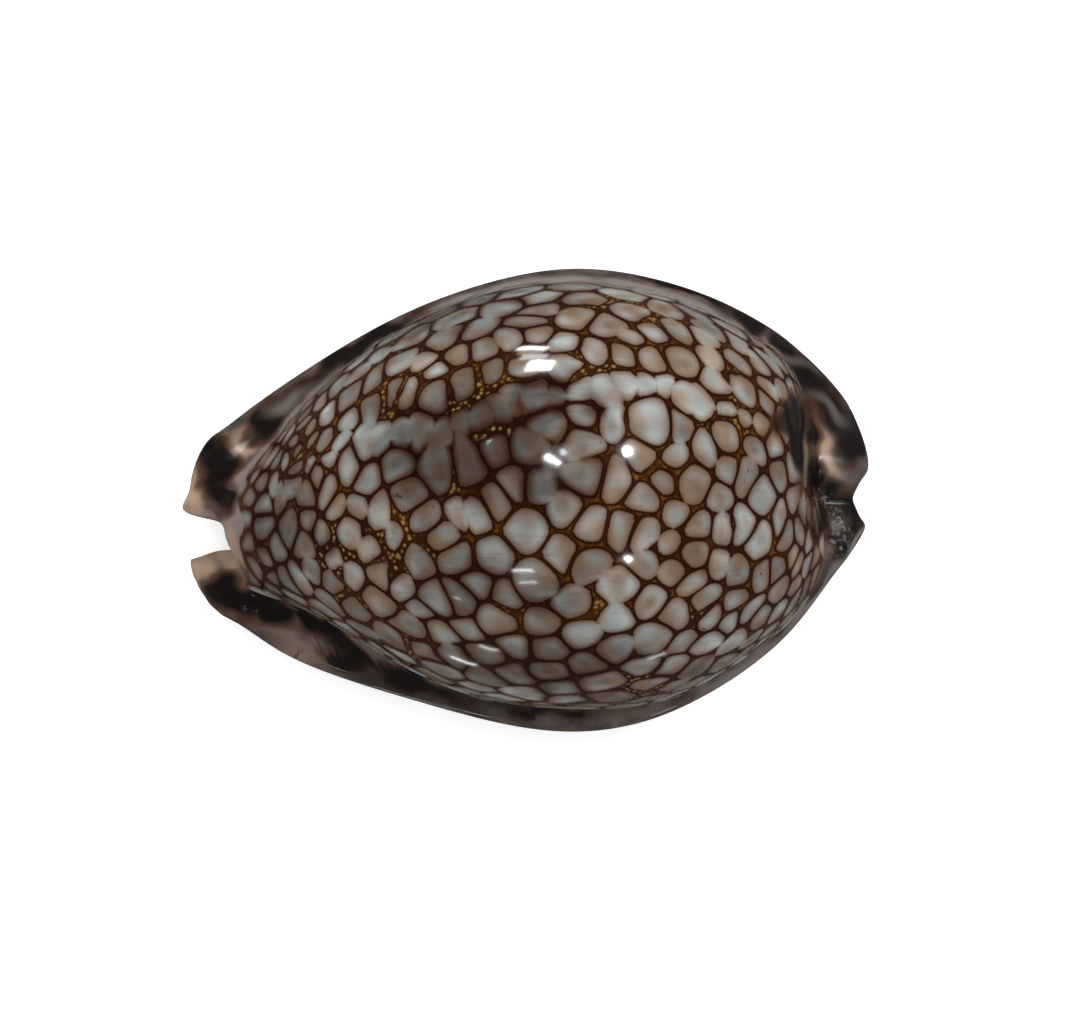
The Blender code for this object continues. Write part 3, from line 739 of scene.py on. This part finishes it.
# painted glints: pale dots on the dark hind patch and on the lower front margin
GLINT_PATCHES = ((28.6, -1.6, 4.4, 1.2, -59, 1.0), (-26.0, -10.4, 1.0, 0.4, -20, 0.35))
SATIN = (  # where the callus isn't glazed to a full shine yet
    (30.0, 4.4, 2.4, 4.2, -8, 1.0), (29.4, -2.5, 2.6, 3.0, 0, 0.9),
)

# %% Where the net ends
NET_EDGE_SPIRE_SIDE, NET_EDGE_OUTER_SIDE = 0.9, 1.3  # how far up the dome's flanks, in mm
NET_FRONT, NET_FRONT_SLANT, NET_MIDDLE = -27.0, 0.12, -1.5  # where it ends at the front
EDGE_WANDER, FRONT_WANDER = 0.12, 0.25
EDGE_LIMIT = 2  # a vertex farther than this from the net's edge, in mm, needs no measure
LOWEST_NET = -0.2  # sine of the lowest angle that the net reaches

turn = everywhere(angle, angle)
dome_over = everywhere(sheet["dome_over"], -FAR)
net_edge = blend(NET_EDGE_SPIRE_SIDE, NET_EDGE_OUTER_SIDE, ramp(np.cos(turn), -0.2, 0.6))
within = dome_over + EDGE_WANDER * swell(points, 4.0, 9) - net_edge
front = points[:, 0] - NET_FRONT - NET_FRONT_SLANT * np.abs(points[:, 1] - NET_MIDDLE)
within = np.minimum(within, front + FRONT_WANDER * swell(points, 3.0, 10))
within = np.clip(np.where(np.sin(turn) > LOWEST_NET, within, -EDGE_LIMIT), -EDGE_LIMIT, EDGE_LIMIT)
print("netted share of the vertices:", round(float((within > 0).mean()), 2))

# %% Foot of the dome with its painted sheen, base, throat, and stains with painted highlight and shade
THROAT_START = 2.5  # how far in from the lips and rims the pale throat starts, in mm
STAIN_WOBBLE, STAIN_WOBBLE_LENGTH = 0.3, 3.5


def from_edges(grid, axis):
    """How far each point is, over the surface, from the nearer end of its grid line."""
    walked = arc_lengths(grid, axis)
    return np.minimum(walked, walked.max(axis=axis, keepdims=True) - walked)


def stains_and_painted_light(*tables):
    """Three tables' stains and painted highlight and shade as one attribute's values. They fade out under
    the base.
    """
    from_above = ramp(np.sin(turn), -0.85, -0.3)
    return np.stack([soft_ovals(wandering, table) * from_above for table in tables], axis=-1)


# painted sheen: the dome's foot below the net is drawn pale pinkish grey, partly its own pale band and
# partly painted sheen
foot_and_sheen = ramp(dome_over, -0.5, 0.25) * ramp(np.sin(turn), -0.3, 0.1) * ramp(np.cos(turn), -0.4, 0.2)
base = ramp(-np.sin(turn), 0.3, 0.8)
from_rim = np.minimum(from_edges(inside, 0), from_edges(inside, 1))
throat = everywhere(np.zeros(angle.shape), ramp(from_rim, THROAT_START, 3 * THROAT_START))
teeth = everywhere(sheet["teeth"], sheet["hidden_teeth"])
wandering = wobbled(STAIN_WOBBLE, STAIN_WOBBLE_LENGTH, (6, 7, 8))

store("zones", np.stack([within, base, foot_and_sheen], axis=-1))
store("margin_stains_and_highlight", stains_and_painted_light(DARK_BLOTCHES, CREAM_AND_HIGHLIGHT_PATCHES, MARGIN_SHADE))
store("back_stains_and_shade", stains_and_painted_light(BACK_BLOTCHES, GRAIN_PATCHES, SMOKE_AND_SHADE_CLOUDS))
store("rims", np.stack([soft_ovals(wandering, PALE_RIM_AND_SHEEN), soft_ovals(points, SATIN), throat], axis=-1))
unused = np.zeros(len(points))  # an attribute has one value or three
store("details", np.stack([teeth, soft_ovals(points, GLINT_PATCHES), unused], axis=-1))
print("share of the vertices on the base:", round(float((base > 0.5).mean()), 2))

# %% [markdown]
# ## Mixing the glaze
#
# The material is aragonite under the animal's own polish: porcelain-smooth, with an index
# of refraction near 1.6 and a very low roughness, so it mirrors windows and lamps sharply.
# The colours lie under that polish, so one shader is enough, and they only have to be mixed
# for its base colour. Paint on an image would be quicker to draw, but a mix of attributes
# and noise stays sharp close up. It goes from the bottom up: the cells, the brown fringes and
# the smoke with its painted shade, the walls, then the margins with their painted sheen,
# highlights and glints, and the base. Each noise is given by its scale, its detail and its
# roughness, and each MapRange by where it starts and ends, and with what.

# %% The node helper
PER_MM = 1000.0  # a noise scale of PER_MM / w has features about w millimetres wide

material = bpy.data.materials.new("glazed_aragonite")
material.use_nodes = True
tree = material.node_tree
shader = tree.nodes["Principled BSDF"]


def add(kind, *inputs, **settings):
    """Adds a node with its settings, then fills its open inputs in order, each with a
    number, a colour, another node's first output or one of its sockets. None leaves one."""
    node = tree.nodes.new("ShaderNode" + kind)
    for name, value in settings.items():
        setattr(node, name, value)
    for socket, value in zip([s for s in node.inputs if s.enabled], inputs):
        if isinstance(value, bpy.types.Node):
            value = next(s for s in value.outputs if s.enabled)
        if isinstance(value, bpy.types.NodeSocket):
            tree.links.new(value, socket)
        elif value is not None:
            socket.default_value = value
    return node


def ink(hex_colour):
    """A colour socket's value: linear red, green and blue, and full alpha."""
    return (*linear(hex_colour), 1.0)


place = add("TexCoord").outputs["Object"]

# %% Depth in the cell that a point lies in, in millimetres
nearer = add("Attribute", attribute_name="nearer_cells").outputs["Vector"]
farther = add("Attribute", attribute_name="farther_cells").outputs["Vector"]
both = add("VectorMath", nearer, farther, operation="MAXIMUM")
first, second, third = add("SeparateXYZ", both).outputs
cell_depth = add("Math", add("Math", first, second, operation="MAXIMUM"), third, operation="MAXIMUM")

# %% The other attributes, three values each
parts = {}
for name in ("zones", "margin_stains_and_highlight", "back_stains_and_shade", "rims", "details"):
    stored = add("Attribute", attribute_name=name).outputs["Vector"]
    parts[name] = add("SeparateXYZ", stored).outputs
within, base_zone, foot_and_sheen = parts["zones"]
dark, cream_and_highlight, shade = parts["margin_stains_and_highlight"]
back_dark, grains, smoke_and_shade = parts["back_stains_and_shade"]
pale_rim_and_sheen, satin, throat = parts["rims"]
teeth, glinting = parts["details"][:2]
print("attributes read back:", list(parts))

# %% Inside the cells: growth lines and specks
GROWTH_LINE, SPECK = ink("#66503f"), ink("#33241a")
DRAWN_OUT = (0.12, 1.0, 0.5)  # turns a noise into lines along the shell, as it grew
NET_FADE = 1.7  # millimetres over which the lines and the net grow strong from their edge

mottling = add("TexNoise", place, PER_MM / 1.6, 3.0, 0.55)
clouds = add("TexNoise", place, PER_MM / 7.0, 2.0, 0.5)
covered = add("MapRange", within, 0.0, NET_FADE, 0.1, 1.0)
along = add("VectorMath", place, DRAWN_OUT, operation="MULTIPLY")
lines = add("MapRange", add("TexNoise", along, PER_MM / 0.55, 2.0, 0.6), 0.5, 0.75, 0.0, 0.5)
lines = add("Math", lines, add("MapRange", clouds, 0.4, 0.6), operation="MULTIPLY")
lines = add("Math", lines, covered, operation="MULTIPLY")
specks = add("MapRange", add("TexNoise", place, PER_MM / 1.0, 2.0, 0.6), 0.7, 0.75)
specks = add("Math", specks, add("MapRange", clouds, 0.56, 0.62), operation="MULTIPLY")

back = add("Attribute", attribute_name="cell_colour").outputs["Color"]
for share, over in ((lines, GROWTH_LINE), (specks, SPECK)):
    back = add("Mix", share, back, over, data_type="RGBA")

# %% [markdown]
# ## The walls of the net
#
# On the real shell the walls are lines of dark pigment with soft brown fringes, and where
# they are broad their core is lighter, with gold and pale grains in it. A plain threshold on
# the cells' depth would give lines of one width, like wire. So the width varies from place
# to place and swells where the grains crowd, and each band of colour starts and ends at its
# own distance from the wall's edge. Under the smoky clouds, and under the painted shade along
# the flanks, all of it is duller.

# %% How wide the walls are
THINNER, THICKER, GRAIN_ROOM = 0.06, 0.08, 0.27  # off and onto their half width, in mm
SOFT_EDGE = 0.04  # millimetres on either side of the edge over which a wall fades

breadth = add("TexNoise", place, PER_MM / 6.0, 1.0, 0.5)
crowded = add("MapRange", add("TexNoise", place, PER_MM / 8.0, 0.0, 0.5), 0.6, 0.68)
crowded = add("Math", grains, crowded, operation="MAXIMUM")
half = add("MapRange", breadth, 0.3, 0.7, WALL_HALF_WIDTH - THINNER, WALL_HALF_WIDTH + THICKER)
half = add("Math", crowded, GRAIN_ROOM, half, operation="MULTIPLY_ADD")
edge = add("Math", cell_depth, half, operation="SUBTRACT")
wall = add("MapRange", edge, SOFT_EDGE, -SOFT_EDGE, 0.0, 1.0, interpolation_type="SMOOTHSTEP")
wall = add("Math", wall, covered, operation="MULTIPLY")

# %% Fringes beside the walls, and smoke with painted shade
HALO, WIDE_HALO, SMOKE_AND_SHADE = ink("#4b2a10"), ink("#664a36"), ink("#281910")
HALO_REACH, WIDE_HALO_REACH = 0.2, 0.85  # from the wall's edge into the cell, in mm
THICKEST_SMOKE_AND_SHADE = 0.74

halo = add("MapRange", edge, HALO_REACH, 0.0, 0.0, 0.75, interpolation_type="SMOOTHSTEP")
wide_halo = add("MapRange", edge, WIDE_HALO_REACH, 0.0, 0.0, 0.74, interpolation_type="SMOOTHSTEP")
wide_halo = add("Math", wide_halo, add("MapRange", smoke_and_shade, 0.0, 1.0, 1.0, 1.4), operation="MULTIPLY")
fringe = add("Mix", add("MapRange", smoke_and_shade, 0.2, 1.0), WIDE_HALO, HALO, data_type="RGBA")
# smoke and painted shade darken the cells: smoke beside the pale line, painted shade along the flanks
smoky_and_shaded = add("Math", smoke_and_shade, add("MapRange", clouds, 0.45, 0.75, 0.0, 0.3), operation="ADD")
smoky_and_shaded = add("Math", smoky_and_shaded, add("MapRange", mottling, 0.35, 0.7, 0.68, 0.88), operation="MULTIPLY")
smoky_and_shaded = add("Math", smoky_and_shaded, THICKEST_SMOKE_AND_SHADE, operation="MINIMUM")

# %% Colours within the walls, and the back put together
WALL_EDGE, WALL_CORE, WALL_GOLD, GRAIN = ink("#180500"), ink("#2c1101"), ink("#643c0e"), ink("#9c8154")
CORE_DEPTH, GOLD_DEPTH = (-0.04, -0.18), (-0.12, -0.32)  # behind the wall's edge, in mm
GRAIN_SIZE = 0.55

core = add("MapRange", edge, *CORE_DEPTH)
core = add("Math", core, add("MapRange", smoke_and_shade, 0.1, 0.7, 1.0, 0.1), operation="MULTIPLY")
deep = add("MapRange", edge, *GOLD_DEPTH, 0.0, 1.0)
pebbles = add("TexVoronoi", place, PER_MM / GRAIN_SIZE)
golden = add("Math", add("MapRange", pebbles, 0.3, 0.6, 1.0, 0.2), deep, operation="MULTIPLY")
golden = add("Math", golden, add("MapRange", smoke_and_shade, 0.1, 0.6, 1.0, 0.15), operation="MULTIPLY")
golden = add("Math", golden, add("MapRange", breadth, 0.42, 0.6, 0.1, 1.0), operation="MULTIPLY")
grain = add("Math", add("MapRange", pebbles, 0.45, 0.2, 0.0, 0.65), deep, operation="MULTIPLY")
grain = add("Math", grain, crowded, operation="MULTIPLY")

net = add("Mix", core, WALL_EDGE, WALL_CORE, data_type="RGBA")
for share, over in ((golden, WALL_GOLD), (grain, GRAIN)):
    net = add("Mix", share, net, over, data_type="RGBA")
for share, over in ((wide_halo, fringe), (halo, HALO), (smoky_and_shaded, SMOKE_AND_SHADE), (wall, net)):
    back = add("Mix", share, back, over, data_type="RGBA")

# %% [markdown]
# ## Margins, base and throat
#
# The callus is younger than the net and covers its edge. It is smoky brown with cream and
# nearly black blotches, whose borders are a warm brown, because the dark glaze thins out
# there. The cream is partly a painted highlight, the pale foot of the dome and the pale grey
# rims are partly painted sheen, and the pale dots are painted glints. One threshold would cut
# the blotches out like paper. Here a noise is added to the depth from the tables, which makes
# the border ragged, and two steps turn it into a brown rim and then nearly black. The base is
# beige, the teeth are dark brown between pale grooves, and the throat is pale grey.

# %% Foot of the dome with its painted sheen, and the margins
FOOT_AND_SHEEN, MARGIN_DARK, MARGIN_LIGHT, SHADE = ink("#7f7470"), ink("#3f3632"), ink("#6b5f58"), ink("#191412")
CREAM_AND_HIGHLIGHT, PALE_GREY_AND_SHEEN, PAINTED_GLINT = ink("#ab917b"), ink("#7d7571"), ink("#8f8a88")
BLOTCH_RIM, BLOTCH = ink("#54331c"), ink("#0c0909")

veins = add("TexNoise", place, PER_MM / 3.0, 3.0, 0.6)
shade = add("Math", shade, add("MapRange", veins, 0.3, 0.7, 0.65, 1.0), operation="MULTIPLY")
ragged = add("MapRange", add("TexNoise", place, PER_MM / 2.5, 1.0, 0.5), 0.3, 0.7, -0.2, 0.2)
# painted glints: pale dots of a fine noise where the glint patches lie
glint_dots = add("MapRange", add("TexNoise", place, PER_MM / 0.4, 3.0, 0.7), 0.5, 0.7, 0.0, 0.75)
glint_dots = add("Math", glint_dots, add("MapRange", glinting, 0.1, 0.6), operation="MULTIPLY")


def blotched(colour, depth):
    """The colour under a blotch: a brown rim first, then nearly black, with a ragged edge."""
    depth = add("Math", depth, ragged, operation="ADD")
    rim = add("MapRange", depth, 0.1, 0.45, 0.0, 0.65, interpolation_type="SMOOTHSTEP")
    full = add("MapRange", depth, 0.2, 0.85, 0.0, 0.97, interpolation_type="SMOOTHSTEP")
    rimmed = add("Mix", rim, colour, BLOTCH_RIM, data_type="RGBA")
    return add("Mix", full, rimmed, BLOTCH, data_type="RGBA")


margin = add("Mix", add("MapRange", veins, 0.35, 0.65), MARGIN_DARK, MARGIN_LIGHT, data_type="RGBA")
# the dome's foot with its painted sheen, then cream that is partly painted highlight
for share, over in ((foot_and_sheen, FOOT_AND_SHEEN), (cream_and_highlight, CREAM_AND_HIGHLIGHT)):
    margin = add("Mix", share, margin, over, data_type="RGBA")
# the paler grey rims with their painted sheen lighten the blotches, then shade, painted sheen and painted
# glints go over the margin
margin = blotched(margin, add("Math", pale_rim_and_sheen, -0.7, dark, operation="MULTIPLY_ADD"))
for share, over in ((shade, SHADE), (pale_rim_and_sheen, PALE_GREY_AND_SHEEN), (glint_dots, PAINTED_GLINT)):
    margin = add("Mix", share, margin, over, data_type="RGBA")

# %% Base, net, throat and teeth over one another
BASE, TEETH, GROOVES, THROAT = ink("#93806f"), ink("#4d2813"), ink("#a3917f"), ink("#8a8387")
NET_EDGE_BLUR = 0.1  # in mm

netted_zone = add("MapRange", within, -NET_EDGE_BLUR, NET_EDGE_BLUR, interpolation_type="SMOOTHSTEP")
groove = add("MapRange", teeth, -0.1, -0.9)
tooth = add("MapRange", teeth, 0.1, 0.8, 0.0, 0.85)
colour = add("Mix", base_zone, margin, BASE, data_type="RGBA")
colour = blotched(add("Mix", netted_zone, colour, back, data_type="RGBA"), back_dark)
for share, over in ((throat, THROAT), (groove, GROOVES), (tooth, TEETH)):
    colour = add("Mix", share, colour, over, data_type="RGBA")
tree.links.new(next(s for s in colour.outputs if s.enabled), shader.inputs["Base Color"])
print("nodes in the glaze:", len(tree.nodes))

# %% [markdown]
# ## Polish
#
# The animal's mantle wipes the glaze on in thin coats, which leaves it mirror-smooth but not
# quite even. A perfectly smooth dome would look like plastic, so a very low bump lets the
# mirrored lamps waver. Only the newest callus at the hind end is still satin.

# %% Gloss
MIRROR, STILL_SATIN = 0.09, 0.42  # roughness
UNEVENNESS = 0.00003  # the undulation's height, in metres

shader.inputs["IOR"].default_value = 1.6
undulation = add("TexNoise", place, PER_MM / 4.0, 2.0, 0.5)
bump = add("Bump", 1.0, UNEVENNESS, None, undulation)
matt = add("MapRange", satin, 0.1, 0.9, MIRROR, STILL_SATIN)
tree.links.new(matt.outputs["Result"], shader.inputs["Roughness"])
tree.links.new(bump.outputs["Normal"], shader.inputs["Normal"])

mesh.materials.append(material)
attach(shell, "root")
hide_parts(NODE)

# %% [markdown]
# ## Floor, camera and lights
#
# The photograph looks straight down at the back from about half a metre. The floor is a
# plain pale sheet. A glossy dome mirrors every lamp as a small bright spot, so the lamps
# are placed the other way round: each one stands where the glaze at a chosen spot mirrors
# it into the camera.

# %% Floor, of matt paper with a little light of its own, which keeps it white
FLOOR_HALF, FLOOR_GAP = 3.0, 0.00005  # in metres
PAPER = (
    ("Base Color", ink("#f2f2f2")), ("Roughness", 0.9),
    ("Emission Color", ink("#ffffff")), ("Emission Strength", 0.5),
)

floor_mesh = bpy.data.meshes.new("floor")
square_corners = ((-1, -1), (1, -1), (1, 1), (-1, 1))
floor_corners = [(x * FLOOR_HALF, y * FLOOR_HALF, -FLOOR_GAP) for x, y in square_corners]
floor_mesh.from_pydata(floor_corners, [], [(0, 1, 2, 3)])
floor = bpy.data.objects.new("floor", floor_mesh)
bpy.context.scene.collection.objects.link(floor)
paper = bpy.data.materials.new("white_paper")
paper.use_nodes = True
for name, value in PAPER:
    paper.node_tree.nodes["Principled BSDF"].inputs[name].default_value = value
floor_mesh.materials.append(paper)
floor.visible_glossy = False  # a mirrored floor would wash out the shell's flanks
print("floor, m:", 2 * FLOOR_HALF, "square")

# %% Camera
MM_PER_PIXEL = 0.0946
PHOTO_WIDTH, PHOTO_HEIGHT = 1080, 1026
MIDDLE_PIXEL = (525.5, 500.5)  # where the shell's own origin lies in the photograph
SIGHT_HEIGHT = 7.2  # the height, in mm, at which that scale holds
DISTANCE, SENSOR_WIDTH = 500.0, 36.0

camera = bpy.data.objects.new("camera", bpy.data.cameras.new("camera"))
bpy.context.scene.collection.objects.link(camera)
eye = np.array([
    (PHOTO_WIDTH / 2 - MIDDLE_PIXEL[0]) * MM_PER_PIXEL,
    (MIDDLE_PIXEL[1] - PHOTO_HEIGHT / 2) * MM_PER_PIXEL,
    DISTANCE + SIGHT_HEIGHT,
])
camera.location = eye * MM
camera.data.sensor_width = SENSOR_WIDTH
camera.data.lens = SENSOR_WIDTH * DISTANCE / (PHOTO_WIDTH * MM_PER_PIXEL)
bpy.context.scene.camera = camera
print("camera stands at", [round(float(v), 3) for v in camera.location])

# %% Lamps
LAMP_DISTANCE = 0.6  # from the glaze, in metres
LAMPS = (  # name, spot in plan (mm), panel width and height (m), turn in degrees, radiance
    ("window_top", (0.6, 13.9), 0.10, 0.03, -25, 20.0),
    ("window_middle", (0.8, 13.1), 0.10, 0.04, -25, 9.0),
    ("window_low", (1.4, 12.1), 0.09, 0.08, -20, 36.0),
    ("lamp_a", (2.6, 3.4), 0.085, 0.02, -60, 60.0),
    ("lamp_a_beside", (3.4, 4.4), 0.035, 0.015, -60, 20.0),
    ("ceiling", (3.4, 3.6), 0.17, 0.17, 0, 1.0),
    ("lamp_b", (9.2, 4.2), 0.045, 0.045, 0, 130.0),
    ("lamp_c", (-0.2, -6.4), 0.09, 0.02, 20, 14.0),
    ("lamp_c_beside", (0.2, -7.3), 0.07, 0.015, 20, 10.0),
    ("lamp_d", (9.3, -5.5), 0.035, 0.035, 0, 40.0),
    ("lamp_e", (-5.6, -14.8), 0.05, 0.02, 0, 7.0),
    ("lamp_f", (-3.2, -13.5), 0.05, 0.02, 0, 6.0),
    ("lamp_g", (12.0, -14.2), 0.06, 0.02, 0, 5.0),
    ("lamp_h", (-27.0, 4.9), 0.03, 0.006, 0, 20.0),
    ("lamp_i", (-17.8, -15.8), 0.03, 0.008, 0, 12.0),
)
normals = -inward(outside)


def place_lamp(name, spot, width, height, turn, radiance):
    """Mirror law: the lamp's direction is twice the normal's share of the sight line along
    the normal, less the sight line. Power is radiance times pi times the panel's area."""
    upper = np.sin(angle) > 0
    away = np.where(upper, np.hypot(outside[..., 0] - spot[0], outside[..., 1] - spot[1]), np.inf)
    at = np.unravel_index(np.argmin(away), away.shape)
    sight = eye - outside[at]
    sight /= np.linalg.norm(sight)
    normal = normals[at]
    ray = 2 * (normal @ sight) * normal - sight
    data = bpy.data.lights.new(name, "AREA")
    data.shape, data.size, data.size_y = "RECTANGLE", width, height
    data.energy = radiance * np.pi * width * height
    lamp = bpy.data.objects.new(name, data)
    lamp.location = outside[at] * MM + ray * LAMP_DISTANCE
    facing = (-lamp.location).to_track_quat("-Z", "Y") @ Quaternion((0, 0, 1), np.radians(turn))
    lamp.rotation_euler = facing.to_euler()
    bpy.context.scene.collection.objects.link(lamp)
    print(name, "stands at", [round(float(v), 2) for v in lamp.location])


for lamp in LAMPS:
    place_lamp(*lamp)

# %% A soft light over the table, which the glaze doesn't mirror
SOFT_PLACE, SOFT_SIZE, SOFT_RADIANCE = (0.0, 0.2, 1.0), 4.0, 0.97

soft = bpy.data.objects.new("soft_light", bpy.data.lights.new("soft_light", "AREA"))
soft.data.size = SOFT_SIZE
soft.data.energy = SOFT_RADIANCE * np.pi * SOFT_SIZE**2
soft.location = SOFT_PLACE
soft.rotation_euler = (-soft.location).to_track_quat("-Z", "Y").to_euler()
soft.visible_glossy = soft.visible_camera = False
bpy.context.scene.collection.objects.link(soft)

# %% Room light: dim and cool on the shell, white where the camera sees past the floor
ROOM_COLOUR, ROOM_STRENGTH = ink("#f4f6ff"), 0.05

world = bpy.data.worlds.new("studio")
bpy.context.scene.world = world
world.use_nodes = True
tree = world.node_tree  # from here on, add() adds to the world's nodes
room = tree.nodes["Background"]
room.inputs["Color"].default_value = ROOM_COLOUR
room.inputs["Strength"].default_value = ROOM_STRENGTH
wall_seen = add("Background", ink("#ffffff"), 1.0)
shown = add("MixShader", add("LightPath").outputs["Is Camera Ray"], room, wall_seen)
tree.links.new(shown.outputs["Shader"], tree.nodes["World Output"].inputs["Surface"])
bpy.context.scene.view_settings.view_transform = "Standard"
